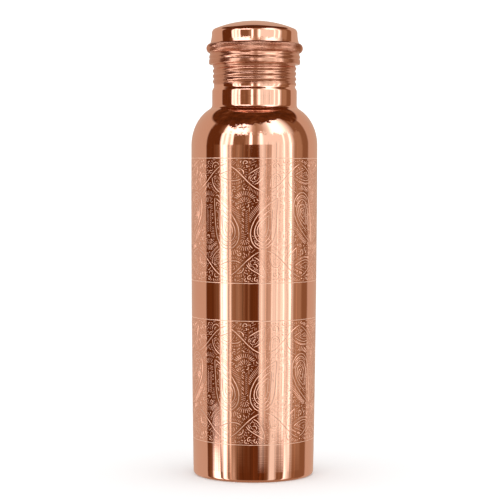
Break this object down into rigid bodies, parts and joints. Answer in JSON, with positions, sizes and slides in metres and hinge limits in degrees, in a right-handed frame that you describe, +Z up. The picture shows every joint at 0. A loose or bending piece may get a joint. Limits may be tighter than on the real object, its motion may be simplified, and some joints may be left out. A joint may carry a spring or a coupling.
{
  "type": "copper water bottle",
  "caption": "Slim copper water bottle with two engraved bands, a threaded neck and a domed screw cap with a knurled grip bead and a sealing washer.",
  "frame": {"origin": "centre of the foot, on the surface the bottle stands on", "axes": "+Z up along the bottle's axis to the cap; -Y is the side that faces the viewer"},
  "size_m": [0.075, 0.075, 0.27],
  "materials": {
    "polished_copper": "polished, lightly worn",
    "inner_copper": "satin",
    "silicone": "matt"
  },
  "bodies": {
    "bottle": {"body_shell": "polished_copper", "base_plate": "inner_copper"},
    "seal": {"sealing_washer": "silicone"},
    "cap": {"cap_shell": "polished_copper", "thread_sleeve": "inner_copper", "backing_plate": "inner_copper"}
  },
  "joints": [
    {"name": "cap_rise", "type": "slide", "parent": "bottle", "child": "seal", "axis": [0, 0, 1], "range_m": [0, 0.031]},
    {"name": "cap_turn", "type": "hinge", "parent": "seal", "child": "cap", "pos_m": [0, 0, 0.25], "axis": [0, 0, 1], "range_deg": [0, 3600]}
  ],
  "couplings": [
    {"joint": "cap_rise", "follows": "cap_turn", "m_per_rad": 0.00049338}
  ]
}
